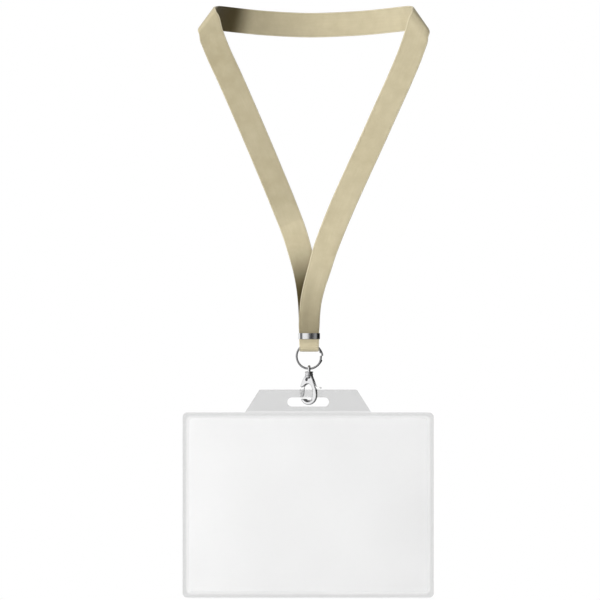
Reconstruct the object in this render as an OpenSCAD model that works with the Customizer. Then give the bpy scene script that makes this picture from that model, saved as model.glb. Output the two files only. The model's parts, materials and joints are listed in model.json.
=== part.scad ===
// Lanyard badge holder: a flat ribbon loop, a crimp, a split ring, a swivel
// snap hook and a clear side-loading pouch with a blank insert.
// Millimetres. +Z is up, +X is to the wearer's left, -Y is the front.
// The origin is on the middle of the neck band, where the loop is held up.

/* [Ribbon] */
// Width of the woven ribbon
ribbon_w = 16; // [12:0.5:18]
// Thickness of the woven ribbon
ribbon_t = 0.85; // [0.5:0.05:0.85]

/* [Crimp] */
// Height of the metal crimp
crimp_h = 3.8; // [2.5:0.1:4.4]
// Thickness of the crimp's sheet metal
crimp_wall = 0.45; // [0.3:0.05:0.8]

/* [Split ring] */
// Outer radius of the split ring
ring_r = 8.6; // [8.4:0.1:8.8]
// Radial width of the flattened wire
ring_wire = 1.3; // [1.1:0.1:1.4]
// Thickness of each of the two turns
ring_turn_t = 0.95; // [0.8:0.05:0.95]

/* [Snap hook] */
// Angle of the hook about the vertical, away from the pouch's plane
hook_yaw = 35; // [33:1:50]
// Thickness of the spine and bow
hook_t = 1.9; // [1.6:0.1:2]
// Thickness of the housing that holds the gate lever
housing_t = 2.8; // [2.4:0.1:2.9]
// Radius of the swivel barrel
barrel_r = 2.55; // [2.5:0.05:2.8]
// Thickness of the gate lever
lever_t = 1.1; // [0.8:0.1:1.1]

/* [Pouch] */
// Width of the pouch
pouch_w = 160; // [155:1:180]
// Height of the pouch without its tab
pouch_h = 118; // [117:1:130]
// Width of the welded border
border_w = 3; // [2:0.5:3.5]
// Thickness of each clear film
film_t = 0.4; // [0.2:0.05:0.4]
// Height of the tab above the pouch
tab_h = 14.5; // [14:0.5:20]
// Width of the tab at its top
tab_top_w = 62; // [50:1:80]
// Width of the tab where it meets the pouch
tab_base_w = 80.5; // [60:0.5:110]
// Length of the slot in the tab
slot_l = 26.5; // [20:0.5:30]
// Height of the slot in the tab
slot_h = 5.8; // [5:0.1:6]

/* [Insert] */
// Width of the insert sheet
card_w = 152; // [140:1:152]
// Height of the insert sheet
card_h = 110.5; // [90:0.5:110.5]
// Thickness of the insert sheet
card_t = 0.4; // [0.2:0.05:0.45]

/* [Hidden] */
$fn = 48;
// How far cutting shapes reach past what they cut
over = 1;

// The vertical line that everything below the ribbon hangs on
hang_y = -45;

// Heights along that line, from the neck band down
crimp_z = -202.2;
crimp_share = 0.8;
crimp_fit = 0.2;
crimp_corner_r = 0.7;
crimp_seam = 0.4;
ring_contact_z = -211;
bight_half_w = 6.1;
ring_inner_r = ring_r - ring_wire;
ring_z = ring_contact_z - sqrt(ring_inner_r * ring_inner_r - bight_half_w * bight_half_w);
turn_gap = 0.1;
wire_round = 0.35;
crossover_half_a = 12;
crossover_lap_a = 4;

eye_wire_r = 0.75;
eye_bend_r = 1.6;
eye_flat = 0.7;
eye_clear = 0.15;
eye_top_z = ring_z - ring_inner_r + eye_clear;
eye_h = 2.5;
shank_r = 0.95;
shank_clear = 0.05;
flange_t = 0.85;
flange_gap = 0.05;
barrel_top_z = eye_top_z - eye_h - flange_t;
barrel_h = 3;
bore_h = 1.5;
head_r = 1.6;
head_t = 0.8;
head_gap = 0.1;
cavity_r = 1.85;
cavity_h = 1.2;

// The hook's own plane: x across it, z up from the centre of its bow
hook_drop = 14;
bow_z = barrel_top_z - hook_drop;
bow_x = -0.4;
bow_outer_r = 6.5;
bow_inner_r = 3.4;
tip_outer_a = -153;
tip_inner_a = -132;
rivet_x = -1.1;
rivet_up = 9.6;
rivet_r = 0.6;
rivet_clear = 0.05;
rivet_head_r = 0.95;
rivet_head_t = 0.3;
lever_gap = 0.15;
lever_hub_r = 1.3;
lever_slot_floor = 3.4;
lever_slot_w = 16;
thumb_x = 8.4;
thumb_up = 4;
thumb_h = 1.1;
thumb_r = 1;

spring_x = 2;
spring_r = 0.42;
spring_wire_r = 0.13;
spring_turns = 4;
spring_low = 9.35;
spring_high = 10.85;
spring_steps = 12;

// The strip above the slot crosses the bow at an angle and rests on its inner
// edges, this far from the bow's centre line
rest_x = (hook_t / 2 * cos(hook_yaw) + film_t) / sin(hook_yaw) - bow_x;
rest_gap = 0.6;
slot_top_z = bow_z - sqrt(bow_inner_r * bow_inner_r - rest_x * rest_x) + rest_gap;
slot_down = 5;
tab_top_z = slot_top_z + slot_down;
pouch_top_z = tab_top_z - tab_h;
pouch_x = -0.6;
pocket_gap = 0.7;
corner_r = 3;
tab_lap = 1;
// A slot's round ends stay this much short of half circles
slot_end_flat = 0.01;
window_r = 2;
lip_t = 0.2;
lip_in = 1;
card_clear = 1;
card_x = pouch_x - pouch_w / 2 + border_w + card_clear + card_w / 2;

// The ribbon's route: x, y, z, angle of its width in the XZ plane, share of
// its full width. It runs from the tail behind the crimp, round the split
// ring, up the front strap, round the neck and down the rear strap.
route = [
  [0, -44.1, -198.5, 0, 0.8],
  [0, -44.1, -202, 0, 0.8],
  [0, -44.1, -204.3, 0, 0.8],
  [0, -42.7, -205.8, 0, 0.79],
  [0, -41.9, -207.3, 0, 0.78],
  [0, -41.8, -208.6, 0, 0.77],
  [0, -42.7, -210.9, 0, 0.76],
  [0, -45, -211.8, 0, 0.76],
  [0, -47.3, -210.9, 0, 0.76],
  [0, -48.2, -208.6, 0, 0.77],
  [0, -48.1, -207.3, 0, 0.78],
  [0, -47.3, -205.8, 0, 0.79],
  [0, -45.9, -204.3, 0, 0.8],
  [0, -45.9, -202, 0, 0.8],
  [0, -45.9, -200, 0, 0.8],
  [0, -46, -196, 0, 0.83],
  [0.4, -46.3, -188, -3, 0.83],
  [1.2, -46.6, -180, -8, 0.85],
  [3.4, -46.9, -170, -14, 0.88],
  [6.4, -47.1, -160, -18, 0.92],
  [9.6, -47.4, -149, -20, 0.96],
  [13.6, -47.6, -138, -22, 0.98],
  [21.8, -47.8, -118, -23.5, 1],
  [30.8, -47.9, -98, -24, 1],
  [40, -48, -78, -24, 1],
  [49, -48, -58, -24, 1],
  [58, -48, -38, -25, 1],
  [64.6, -48, -22, -30, 1],
  [68, -48, -12, -42, 1],
  [70, -48, -5, -53, 1],
  [71.2, -46.8, -1.8, -53, 1],
  [71.2, -44, 0.2, -54, 1],
  [70, -36.5, 1.6, -60, 1],
  [66.8, -29, 2.2, -66, 1],
  [60.6, -20.6, 2.2, -73, 1],
  [51, -12.8, 1.8, -79, 1],
  [37, -6, 1, -85, 1],
  [20, -1.6, 0.4, -88, 1],
  [0, 0, 0, -90, 1],
  [-16, -1.6, 0.4, -92, 1],
  [-31, -6, 1, -95, 1],
  [-45, -12.8, 1.8, -101, 1],
  [-54.6, -20.6, 2.2, -107, 1],
  [-60.8, -29, 2.2, -114, 1],
  [-64, -36.5, 1.6, -121, 1],
  [-65.2, -44, 0.8, -127, 1],
  [-65.2, -46.8, -1, -128, 1],
  [-64, -48, -4, -128, 1],
  [-62, -48, -11, -138, 1],
  [-58.6, -48, -20, -150, 1],
  [-50.4, -48, -38, -155, 1],
  [-41.6, -48, -58, -156, 1],
  [-33, -48, -78, -156, 1],
  [-24.6, -47.9, -98, -156, 1],
  [-16.4, -47.5, -118, -157, 1],
  [-8.8, -46.8, -138, -160, 0.98],
  [-5.6, -46.2, -149, -163, 0.96],
  [-2.9, -45.7, -160, -167, 0.92],
  [-1.3, -45.3, -170, -171, 0.88],
  [-0.4, -45.1, -180, -175, 0.85],
  [0, -45, -190, -178, 0.83],
  [0, -45, -198, -180, 0.81],
  [0, -45, -201, -180, 0.8],
  [0, -45, -203.8, -180, 0.8]
];

function at(i) = [route[i][0], route[i][1], route[i][2]];
function unit(v) = v / norm(v);
function along(i) = unit(at(min(i + 1, len(route) - 1)) - at(max(i - 1, 0)));
function across(i) = [cos(route[i][3]), 0, sin(route[i][3])];
// A slanted cross line is longer than the ribbon is wide
function half_w(i) = ribbon_w * route[i][4] / 2 / norm(cross(along(i), across(i)));
function facing(i) = unit(cross(along(i), across(i))) * ribbon_t / 2;

// Closed strip with a rectangular section, from one end of the route to the other
module ribbon_strip() {
  last = len(route) - 1;
  points = [for (i = [0:last], s = [[1, 1], [-1, 1], [-1, -1], [1, -1]])
    at(i) + s[0] * half_w(i) * across(i) + s[1] * facing(i)];
  sides = [for (i = [0:last - 1], k = [0:3]) let (a = 4 * i + k, b = 4 * i + (k + 1) % 4)
    each [[a, b, b + 4], [a, b + 4, a + 4]]];
  end = 4 * last;
  caps = [[0, 2, 1], [0, 3, 2], [end, end + 1, end + 2], [end, end + 2, end + 3]];
  polyhedron(points, concat(sides, caps), convexity = 10);
}

// Flat bar with rounded corners, centred, for a rotate_extrude or a plate
module round_rect(w, h, r) {
  union() {
    square([w - 2 * r, h], center = true);
    square([w, h - 2 * r], center = true);
    for (sx = [-1, 1], sz = [-1, 1])
      translate([sx * (w / 2 - r), sz * (h / 2 - r)]) circle(r);
  }
}

// Stands a drawing in x and z upright, centred on y = 0
module upright(t) {
  rotate([90, 0, 0]) translate([0, 0, -t / 2]) linear_extrude(t) children();
}

// Puts the hook's own frame in place
module in_hook() {
  translate([0, hang_y, bow_z]) rotate([0, 0, -hook_yaw]) children();
}

function arc(cx, cy, r, a0, a1, n) =
  [for (i = [0:n]) let (a = a0 + (a1 - a0) * i / n) [cx + r * cos(a), cy + r * sin(a)]];

module ribbon() {
  color([0.78, 0.73, 0.60]) ribbon_strip();
}

// Sheet metal folded round the three layers of ribbon, with its seam at the back
module crimp() {
  inner_w = ribbon_w * crimp_share + crimp_fit;
  inner_d = 3 * ribbon_t + crimp_fit;
  outer_w = inner_w + 2 * crimp_wall;
  outer_d = inner_d + 2 * crimp_wall;
  color([0.75, 0.75, 0.76]) translate([0, hang_y, crimp_z - crimp_h / 2]) linear_extrude(crimp_h)
    difference() {
      round_rect(outer_w, outer_d, crimp_corner_r);
      square([inner_w, inner_d], center = true);
      translate([-crimp_seam / 2, 0]) square([crimp_seam, outer_d]);
    }
}

// One turn of flattened wire, from angle a0 round to a1
module ring_turn(a0, a1) {
  rotate([0, 0, a0]) rotate_extrude(angle = a1 - a0, $fn = 96)
    translate([ring_r - ring_wire / 2, 0]) round_rect(ring_wire, ring_turn_t, wire_round);
}

// Two turns side by side, joined where the wire crosses from one to the other
module split_ring() {
  side = (ring_turn_t + turn_gap) / 2;
  color([0.72, 0.72, 0.74]) translate([0, hang_y, ring_z]) rotate([90, 0, 0]) union() {
    translate([0, 0, side]) ring_turn(crossover_lap_a, 360 - crossover_half_a);
    translate([0, 0, -side]) ring_turn(crossover_half_a, 360 - crossover_lap_a);
    rotate([0, 0, crossover_half_a]) rotate_extrude(angle = crossover_lap_a, $fn = 96)
      translate([ring_inner_r, -ring_turn_t / 2]) square([ring_wire, ring_turn_t]);
  }
}

// Loop of round wire seen edge-on, on a shank that turns in the barrel
module swivel_eye() {
  bend_z = eye_top_z + eye_wire_r - eye_bend_r;
  foot_z = barrel_top_z + flange_t / 2;
  shank_low = barrel_top_z - bore_h - head_gap;
  color([0.76, 0.76, 0.78]) translate([0, hang_y, 0]) union() {
    for (s = [-1, 1]) {
      translate([0, s * eye_flat / 2, bend_z]) rotate([90, 0, 90])
        rotate([0, 0, s > 0 ? 0 : 90]) rotate_extrude(angle = 90)
          translate([eye_bend_r, 0]) circle(eye_wire_r);
      translate([0, s * (eye_flat / 2 + eye_bend_r), foot_z]) cylinder(h = bend_z - foot_z, r = eye_wire_r);
    }
    translate([0, 0, bend_z + eye_bend_r]) rotate([90, 0, 0])
      cylinder(h = eye_flat, r = eye_wire_r, center = true);
    translate([0, 0, barrel_top_z + flange_gap]) cylinder(h = flange_t - flange_gap, r = barrel_r);
    translate([0, 0, shank_low]) cylinder(h = foot_z - shank_low, r = shank_r);
    translate([0, 0, shank_low - head_t]) cylinder(h = head_t, r = head_r);
  }
}

// Outline of the housing: the two cheeks that the lever turns between
module housing_outline() {
  polygon(concat(
    [[-2.3, 12.2], [2.3, 12.2], [2.6, 11.4], [3.35, 10.6], [4.15, 9], [5.2, 6.9], [5.7, 4.6], [5.7, 3.2],
      [3, 3.2]],
    arc(0.2, 4, 2.8, 0, 90, 8),
    arc(-1, 4.2, 2.6, 90, 150, 6),
    [[-4.4, 4.6], [-6.1, 4.9], [-5.3, 7.4], [-4.2, 9.6], [-3.2, 11.4]]));
}

// Outline of the spine and the bow, round to the tip
module bow_outline() {
  polygon(concat(
    [[3, 4.2], [5.7, 4.2]],
    arc(bow_x, 0, bow_outer_r, 0, tip_outer_a, 28),
    arc(bow_x, 0, bow_inner_r, tip_inner_a, 0, 28)));
}

module hook_body() {
  barrel_up = barrel_top_z - bow_z;
  color([0.80, 0.80, 0.81]) in_hook() difference() {
    union() {
      upright(hook_t) bow_outline();
      upright(housing_t) housing_outline();
      translate([0, 0, barrel_up - barrel_h]) cylinder(h = barrel_h, r = barrel_r);
    }
    upright(lever_t + 2 * lever_gap) translate([-lever_slot_w / 2, lever_slot_floor])
      square([lever_slot_w, barrel_up - barrel_h - lever_slot_floor]);
    translate([0, 0, barrel_up - bore_h - over]) cylinder(h = bore_h + 2 * over, r = shank_r + shank_clear);
    translate([0, 0, barrel_up - bore_h - cavity_h]) cylinder(h = cavity_h, r = cavity_r);
    translate([rivet_x, 0, rivet_up]) rotate([90, 0, 0])
      cylinder(h = housing_t + 2 * over, r = rivet_r, center = true);
  }
}

// Gate on the left of the rivet, arm to the thumb pad on the right
module lever_outline() {
  polygon([[-1.4, 10.8], [-3, 9.6], [-5, 6.6], [-6.9, 3.6], [-7, 1], [-6.5, -1.75], [-4.8, -1.8], [-3.9, 0],
    [-3.7, 3], [-3.4, 5.8], [-2.2, 8.2], [-1.1, 8.35], [1.4, 7.2], [3.6, 5], [5.2, 4.1], [8.4, 4],
    [8.4, 5.1], [5.6, 5.2], [4.6, 6.4], [2.9, 8.3], [0.9, 9.2], [-0.2, 10.5]]);
  translate([rivet_x, rivet_up]) circle(lever_hub_r);
}

module gate_lever() {
  color([0.86, 0.86, 0.87]) in_hook() difference() {
    union() {
      upright(lever_t) lever_outline();
      translate([thumb_x, 0, thumb_up]) cylinder(h = thumb_h, r = thumb_r);
    }
    translate([rivet_x, 0, rivet_up]) rotate([90, 0, 0])
      cylinder(h = lever_t + 2 * over, r = rivet_r + rivet_clear, center = true);
  }
}

// Pin through both cheeks with a low head on each side
module gate_rivet() {
  color([0.35, 0.35, 0.36]) in_hook() translate([rivet_x, 0, rivet_up]) rotate([90, 0, 0]) union() {
    cylinder(h = housing_t, r = rivet_r, center = true);
    for (s = [0, 1]) mirror([0, 0, s]) translate([0, 0, housing_t / 2])
      cylinder(h = rivet_head_t, r = rivet_head_r);
  }
}

// Point on the spring's centre line, k steps up from its lower end
function spring_at(k) = let (a = 360 * k / spring_steps, up = k / (spring_steps * spring_turns))
  [spring_r * cos(a), spring_r * sin(a), spring_low + (spring_high - spring_low) * up];

// Small coil spring between the lever's right arm and the roof of the housing
module gate_spring() {
  last = spring_steps * spring_turns;
  sides = 6;
  points = [for (k = [0:last], j = [0:sides - 1])
    let (a = 360 * k / spring_steps, b = 360 * j / sides, p = spring_at(k))
    p + spring_wire_r * [cos(b) * cos(a), cos(b) * sin(a), sin(b)]];
  walls = [for (k = [0:last - 1], j = [0:sides - 1])
    let (a = sides * k + j, b = sides * k + (j + 1) % sides)
    each [[a, a + sides, b + sides], [a, b + sides, b]]];
  caps = [[for (j = [0:sides - 1]) j], [for (j = [sides - 1:-1:0]) sides * last + j]];
  color([0.6, 0.6, 0.62]) in_hook() translate([spring_x, 0, 0]) polyhedron(points, concat(walls, caps));
}

// Outline of one sheet: the tab, the rounded body and the slot
module sheet_outline() {
  top = pouch_h / 2;
  slot_up = top + tab_h - slot_down - slot_h / 2;
  difference() {
    union() {
      round_rect(pouch_w, pouch_h, corner_r);
      polygon([[-tab_base_w / 2, top - tab_lap], [tab_base_w / 2, top - tab_lap], [tab_base_w / 2, top],
        [tab_top_w / 2, top + tab_h], [-tab_top_w / 2, top + tab_h], [-tab_base_w / 2, top]]);
    }
    translate([0, slot_up]) round_rect(slot_l, slot_h, slot_h / 2 - slot_end_flat);
  }
}

// Window between the welds, grown by a margin, and reaching past the open right side
module window_outline(margin) {
  left = -pouch_w / 2 + border_w - margin;
  right = pouch_w / 2 + window_r + over;
  translate([(left + right) / 2, 0])
    round_rect(right - left, pouch_h - 2 * border_w + 2 * margin, window_r);
}

// The front film: flat where it is welded, stepped out over the window by half the
// pocket, with a thicker lip along its open edge
module film() {
  step = pocket_gap / 2;
  outer_face = step + film_t;
  lip_h = pouch_h - 2 * border_w - 2 * lip_in;
  translate([pouch_x, hang_y, pouch_top_z - pouch_h / 2]) rotate([90, 0, 0]) union() {
    difference() {
      union() {
        linear_extrude(film_t) sheet_outline();
        linear_extrude(outer_face) intersection() {
          sheet_outline();
          window_outline(film_t);
        }
      }
      translate([0, 0, -over]) linear_extrude(over + step) window_outline(0);
    }
    translate([pouch_w / 2 - border_w, -lip_h / 2, step]) cube([border_w, lip_h, film_t + lip_t]);
  }
}

module front_film() {
  color([0.86, 0.87, 0.88]) film();
}

module back_film() {
  color([0.80, 0.81, 0.82]) translate([0, 2 * hang_y, 0]) mirror([0, 1, 0]) film();
}

// Blank sheet that slides in from the open right side
module insert_card() {
  color([0.96, 0.96, 0.96]) translate([card_x, hang_y, pouch_top_z - pouch_h / 2])
    upright(card_t) square([card_w, card_h], center = true);
}

ribbon();
crimp();
split_ring();
swivel_eye();
hook_body();
gate_lever();
gate_rivet();
gate_spring();
front_film();
back_film();
insert_card();
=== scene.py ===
import json
import math

import bmesh
import bpy
import numpy as np
from mathutils import Matrix, Vector
from mathutils.geometry import delaunay_2d_cdt


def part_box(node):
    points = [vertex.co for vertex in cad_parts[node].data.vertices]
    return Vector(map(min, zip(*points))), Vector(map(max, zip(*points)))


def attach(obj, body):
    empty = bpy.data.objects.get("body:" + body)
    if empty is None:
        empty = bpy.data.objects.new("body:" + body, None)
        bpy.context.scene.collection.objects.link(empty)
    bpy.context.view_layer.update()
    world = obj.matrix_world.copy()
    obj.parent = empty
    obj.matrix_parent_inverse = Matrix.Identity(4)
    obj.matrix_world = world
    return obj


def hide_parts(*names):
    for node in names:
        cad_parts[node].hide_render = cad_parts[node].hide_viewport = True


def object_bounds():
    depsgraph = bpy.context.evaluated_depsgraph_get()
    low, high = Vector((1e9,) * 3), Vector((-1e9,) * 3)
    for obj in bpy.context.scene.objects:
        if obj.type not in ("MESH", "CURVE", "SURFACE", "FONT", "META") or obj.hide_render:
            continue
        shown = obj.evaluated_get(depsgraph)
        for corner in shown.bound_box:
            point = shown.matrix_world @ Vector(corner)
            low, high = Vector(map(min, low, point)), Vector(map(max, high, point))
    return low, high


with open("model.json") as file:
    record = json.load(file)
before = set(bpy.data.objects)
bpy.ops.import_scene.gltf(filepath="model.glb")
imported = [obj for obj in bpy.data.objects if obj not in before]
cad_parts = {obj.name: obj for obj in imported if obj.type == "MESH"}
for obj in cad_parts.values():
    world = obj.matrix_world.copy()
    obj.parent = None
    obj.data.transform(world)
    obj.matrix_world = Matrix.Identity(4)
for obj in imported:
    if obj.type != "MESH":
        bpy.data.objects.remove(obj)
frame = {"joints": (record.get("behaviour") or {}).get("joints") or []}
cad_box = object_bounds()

# Looks of the lanyard badge holder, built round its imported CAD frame.
# Sizes are written in millimetres and turned into metres by MM.
MM = 0.001
JOINTS = {joint["name"]: joint for joint in frame["joints"]}


def joint_point(name):
    """Where a joint's axis passes, in metres."""
    return Vector(JOINTS[name]["pos_m"])


HANG = joint_point("ring_swing")
RING_CENTRE = joint_point("eye_slide")
BARREL_TOP = joint_point("hook_swivel")
RIVET = joint_point("gate_open")
gate_axis = Vector(JOINTS["gate_open"]["axis"])
HOOK_YAW = math.atan2(-gate_axis.x, -gate_axis.y)

# The hook's own frame: its origin is the centre of the bow, x across, z up
BOW_BELOW_BARREL = 14.0
HOOK_FRAME = (Matrix.Translation((HANG.x, HANG.y, BARREL_TOP.z - BOW_BELOW_BARREL * MM))
              @ Matrix.Rotation(-HOOK_YAW, 4, "Z"))


# ---------------------------------------------------------------- camera

def make_camera():
    """Straight at the front, level, from far enough for a flat perspective."""
    frame_width = 0.3822
    distance = 1.9
    centre_x = -5.8 * MM
    centre_z = -179.2 * MM
    data = bpy.data.cameras.new("camera")
    data.sensor_width = 36
    data.lens = data.sensor_width * distance / frame_width
    data.clip_end = 50
    camera = bpy.data.objects.new("camera", data)
    camera.location = (centre_x, HANG.y - distance, centre_z)
    camera.rotation_euler = (math.radians(90), 0, 0)
    bpy.context.scene.collection.objects.link(camera)
    bpy.context.scene.camera = camera


make_camera()


# ---------------------------------------------------------------- node helpers

def new_material(name):
    material = bpy.data.materials.new(name)
    material.use_nodes = True
    material.node_tree.nodes.clear()
    return material, material.node_tree


def put(tree, kind, inputs=None, **settings):
    """Adds a node; inputs holds plain values and sockets to link, by name or place."""
    made = tree.nodes.new(kind)
    for key, value in settings.items():
        setattr(made, key, value)
    for key, value in (inputs or {}).items():
        socket = made.inputs[key]
        if isinstance(value, bpy.types.NodeSocket):
            tree.links.new(value, socket)
        else:
            socket.default_value = value
    return made


def math_node(tree, operation, a, b=0.0):
    return put(tree, "ShaderNodeMath", {0: a, 1: b}, operation=operation).outputs[0]


def mix_colour(tree, share, a, b):
    """Blends two colours, each a socket or three plain values, by a share from 0 to 1."""
    made = put(tree, "ShaderNodeMix", {"Factor": share}, data_type="RGBA")
    for place, value in ((6, a), (7, b)):
        if isinstance(value, bpy.types.NodeSocket):
            tree.links.new(value, made.inputs[place])
        else:
            made.inputs[place].default_value = (*value, 1)
    return made.outputs[2]


def noise(tree, vector, scale, detail=3.0, rough=0.5):
    return put(tree, "ShaderNodeTexNoise", {"Vector": vector, "Scale": scale, "Detail": detail,
                                            "Roughness": rough}).outputs["Fac"]


def ramp(tree, value, low, high, to_low, to_high):
    return put(tree, "ShaderNodeMapRange", {"Value": value, "From Min": low, "From Max": high,
                                            "To Min": to_low, "To Max": to_high}).outputs[0]


def finish_material(tree, shader):
    put(tree, "ShaderNodeOutputMaterial", {"Surface": shader})


def bump(tree, height, distance, strength=1.0):
    return put(tree, "ShaderNodeBump", {"Height": height, "Distance": distance,
                                        "Strength": strength}).outputs[0]


# ---------------------------------------------------------------- materials

def ribbon_material():
    """Woven polyester ribbon: plain weave, selvage edges, faint mottling and thread streaks."""
    material, tree = new_material("woven_ribbon")
    warp_pitch = 0.42 * MM
    weft_pitch = 0.36 * MM
    half_width = 8 * MM
    uv = put(tree, "ShaderNodeUVMap", uv_map="ribbon").outputs[0]
    parts = put(tree, "ShaderNodeSeparateXYZ", {0: uv}).outputs
    place = put(tree, "ShaderNodeTexCoord").outputs["Object"]
    warp = math_node(tree, "SINE", math_node(tree, "MULTIPLY", parts[0], 2 * math.pi / warp_pitch))
    weft = math_node(tree, "SINE", math_node(tree, "MULTIPLY", parts[1], 2 * math.pi / weft_pitch))
    weave = math_node(tree, "MULTIPLY", warp, weft)
    off_centre = math_node(tree, "ABSOLUTE", parts[0])
    selvage = ramp(tree, off_centre, half_width * 0.88, half_width * 0.95, 0, 1)
    groove = math_node(tree, "COMPARE", off_centre, half_width * 0.87)
    groove.node.inputs[2].default_value = half_width * 0.02
    mottle = noise(tree, place, 140, 4, 0.6)
    thread = put(tree, "ShaderNodeMapping", {"Vector": uv, "Scale": (900, 60, 1)}).outputs[0]
    streak = noise(tree, thread, 1, 2)
    cloud = noise(tree, place, 26, 2)
    dull, pale = (0.492, 0.429, 0.278), (0.575, 0.509, 0.343)
    base = mix_colour(tree, ramp(tree, mottle, 0.35, 0.68, 0, 1), dull, pale)
    base = mix_colour(tree, ramp(tree, cloud, 0.3, 0.7, 0, 0.35), base, (0.62, 0.56, 0.40))
    base = mix_colour(tree, ramp(tree, streak, 0.3, 0.7, 0, 0.25), base, (0.47, 0.41, 0.27))
    base = mix_colour(tree, ramp(tree, weave, -1, 1, 0.22, 0), base, (0.34, 0.29, 0.18))
    base = mix_colour(tree, math_node(tree, "MULTIPLY", selvage, 0.45), base, (0.68, 0.62, 0.46))
    base = mix_colour(tree, math_node(tree, "MULTIPLY", groove, 0.3), base, (0.33, 0.28, 0.17))
    # Painted shade: a per-point attribute blends the ribbon towards a deep olive near-black where shade
    # falls: by the left fold, where the straps cross, and towards the crimp.
    painted_shade = put(tree, "ShaderNodeAttribute", attribute_name="painted_shade").outputs["Fac"]
    base = mix_colour(tree, painted_shade, base, (0.046, 0.031, 0.004))
    height = math_node(tree, "ADD", weave, math_node(tree, "MULTIPLY", streak, 0.8))
    height = math_node(tree, "SUBTRACT", height, math_node(tree, "MULTIPLY", groove, 1.5))
    shader = put(tree, "ShaderNodeBsdfPrincipled", {
        "Base Color": base, "Roughness": ramp(tree, mottle, 0.3, 0.7, 0.62, 0.78),
        "Normal": bump(tree, height, 0.05 * MM, 0.7), "Sheen Weight": 0.25, "Sheen Roughness": 0.4,
        "Specular IOR Level": 0.3}).outputs[0]
    finish_material(tree, shader)
    return material


def metal_material(name, colour, rough_low, rough_high, scratch=0.2, metallic=1.0):
    """Plated metal: slightly uneven polish, fine scratches and dull spots."""
    material, tree = new_material(name)
    place = put(tree, "ShaderNodeTexCoord").outputs["Object"]
    polish = noise(tree, place, 420, 4, 0.6)
    brushed = put(tree, "ShaderNodeMapping", {"Vector": place, "Scale": (3000, 3000, 260)}).outputs[0]
    fine = noise(tree, brushed, 1, 3)
    spots = noise(tree, place, 1500, 2)
    tone = mix_colour(tree, ramp(tree, spots, 0.55, 0.75, 0, 0.3), colour, tuple(c * 0.75 for c in colour))
    roughness = math_node(tree, "ADD", ramp(tree, polish, 0.3, 0.7, rough_low, rough_high),
                          ramp(tree, fine, 0.5, 0.8, 0, 0.06))
    shader = put(tree, "ShaderNodeBsdfPrincipled", {
        "Base Color": tone, "Metallic": metallic, "Roughness": roughness,
        "Normal": bump(tree, math_node(tree, "ADD", fine, polish), 0.004 * MM, scratch)}).outputs[0]
    finish_material(tree, shader)
    return material


def film_material(name, clear, welded):
    """Clear soft PVC: how much each face lets through, in the window and where it is welded."""
    material, tree = new_material(name)
    place = put(tree, "ShaderNodeTexCoord").outputs["Object"]
    wave = noise(tree, place, 22, 2)
    grain = noise(tree, place, 700, 3)
    weld = put(tree, "ShaderNodeAttribute", attribute_name="weld").outputs["Fac"]
    tone = mix_colour(tree, weld, (clear, clear, clear), (welded, welded, welded))
    tone = mix_colour(tree, ramp(tree, wave, 0.3, 0.7, 0, 0.2), tone, (welded, welded, welded))
    through = put(tree, "ShaderNodeBsdfTransparent", {"Color": tone}).outputs[0]
    ripple = math_node(tree, "ADD", wave, math_node(tree, "MULTIPLY", grain, 0.02))
    normal = bump(tree, ripple, 0.5 * MM, 0.35)
    gloss = put(tree, "ShaderNodeBsdfPrincipled", {
        "Base Color": (0.5, 0.5, 0.5, 1), "Roughness": ramp(tree, grain, 0.3, 0.7, 0.06, 0.13),
        "Specular IOR Level": 0.6, "Normal": normal}).outputs[0]
    edge = put(tree, "ShaderNodeLayerWeight", {"Blend": 0.25, "Normal": normal}).outputs["Fresnel"]
    share = ramp(tree, edge, 0, 1, 0.04, 0.25)
    finish_material(tree, put(tree, "ShaderNodeMixShader", {0: share, 1: through, 2: gloss}).outputs[0])
    return material


def paper_material():
    """Smooth white card with faint fibres."""
    material, tree = new_material("white_card")
    place = put(tree, "ShaderNodeTexCoord").outputs["Object"]
    stretched = put(tree, "ShaderNodeMapping", {"Vector": place, "Scale": (900, 900, 2400)}).outputs[0]
    fibre = noise(tree, stretched, 1, 4)
    cloud = noise(tree, place, 30, 2)
    tone = mix_colour(tree, ramp(tree, fibre, 0.35, 0.65, 0, 1), (0.90, 0.90, 0.898), (0.94, 0.94, 0.94))
    tone = mix_colour(tree, ramp(tree, cloud, 0.3, 0.7, 0, 0.2), tone, (0.92, 0.925, 0.93))
    shader = put(tree, "ShaderNodeBsdfPrincipled", {
        "Base Color": tone, "Roughness": ramp(tree, fibre, 0.3, 0.7, 0.5, 0.65),
        "Normal": bump(tree, fibre, 0.02 * MM, 0.3)}).outputs[0]
    finish_material(tree, shader)
    return material


RIBBON = ribbon_material()
CHROME = metal_material("polished_nickel", (0.80, 0.80, 0.81), 0.10, 0.18)
RING_STEEL = metal_material("ring_steel", (0.55, 0.55, 0.56), 0.16, 0.26)
CRIMP_STEEL = metal_material("crimp_nickel", (0.80, 0.80, 0.81), 0.05, 0.09, 0.1)
GATE_STEEL = metal_material("gate_steel", (0.95, 0.95, 0.95), 0.14, 0.22, 0.03, 0.45)
RIVET_STEEL = metal_material("rivet_steel", (0.09, 0.09, 0.095), 0.25, 0.4)
SPRING_STEEL = metal_material("spring_steel", (0.55, 0.55, 0.57), 0.25, 0.35)
FILM = film_material("clear_film", 0.984, 0.926)
PAPER = paper_material()


# ---------------------------------------------------------------- mesh helpers

def make_piece(name, mesh, material, body, replaced=(), sharp=40):
    """Links a finished mesh as a piece that rides on a body."""
    mesh.materials.clear()
    mesh.materials.append(material)
    mesh.validate()
    mesh.shade_smooth()
    mesh.set_sharp_from_angle(angle=math.radians(sharp))
    piece = bpy.data.objects.new(name, mesh)
    bpy.context.scene.collection.objects.link(piece)
    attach(piece, body)
    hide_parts(*replaced)
    return piece


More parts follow.
